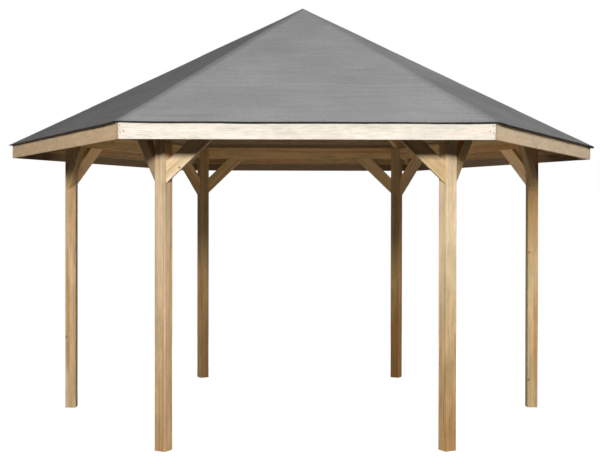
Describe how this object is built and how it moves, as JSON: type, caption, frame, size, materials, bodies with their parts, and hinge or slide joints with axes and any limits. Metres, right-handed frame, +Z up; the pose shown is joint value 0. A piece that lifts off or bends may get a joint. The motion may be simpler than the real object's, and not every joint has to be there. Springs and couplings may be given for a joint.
{
  "type": "garden pavilion",
  "caption": "Open six-sided timber pavilion: square posts, ring beams with raking braces, hip rafters meeting at a king block, boarded roof under grey felt with fascia boards.",
  "frame": {"origin": "on the floor under the middle of the six-sided plan", "axes": "+Z up along the roof's vertical axis, +X towards the right-hand post seen from the front, -Y towards the front bay"},
  "size_m": [5.0854, 4.4042, 3.4608],
  "materials": {
    "post_timber": "planed softwood, unpainted",
    "frame_timber": "planed softwood, unpainted",
    "fascia_timber": "planed softwood, unpainted",
    "roof_boarding": "planed boards, unpainted",
    "roof_felt": "mineral roofing felt, matt"
  },
  "bodies": {
    "root": {"post_right": "post_timber", "hip_rafter_right": "frame_timber", "post_back_right": "post_timber", "hip_rafter_back_right": "frame_timber", "post_back_left": "post_timber", "hip_rafter_back_left": "frame_timber", "post_left": "post_timber", "hip_rafter_left": "frame_timber", "post_front_left": "post_timber", "hip_rafter_front_left": "frame_timber", "post_front_right": "post_timber", "hip_rafter_front_right": "frame_timber", "ring_beam_back_right": "frame_timber", "brace_back_right_bay_right": "frame_timber", "brace_back_right_bay_left": "frame_timber", "fascia_back_right": "fascia_timber", "roof_panel_back_right": "roof_boarding", "ring_beam_back": "frame_timber", "brace_back_bay_right": "frame_timber", "brace_back_bay_left": "frame_timber", "fascia_back": "fascia_timber", "roof_panel_back": "roof_boarding", "ring_beam_back_left": "frame_timber", "brace_back_left_bay_right": "frame_timber", "brace_back_left_bay_left": "frame_timber", "fascia_back_left": "fascia_timber", "roof_panel_back_left": "roof_boarding", "ring_beam_front_left": "frame_timber", "brace_front_left_bay_right": "frame_timber", "brace_front_left_bay_left": "frame_timber", "fascia_front_left": "fascia_timber", "roof_panel_front_left": "roof_boarding", "ring_beam_front": "frame_timber", "brace_front_bay_right": "frame_timber", "brace_front_bay_left": "frame_timber", "fascia_front": "fascia_timber", "roof_panel_front": "roof_boarding", "ring_beam_front_right": "frame_timber", "brace_front_right_bay_right": "frame_timber", "brace_front_right_bay_left": "frame_timber", "fascia_front_right": "fascia_timber", "roof_panel_front_right": "roof_boarding", "king_block": "frame_timber", "roof_felt": "roof_felt"}
  },
  "joints": []
}
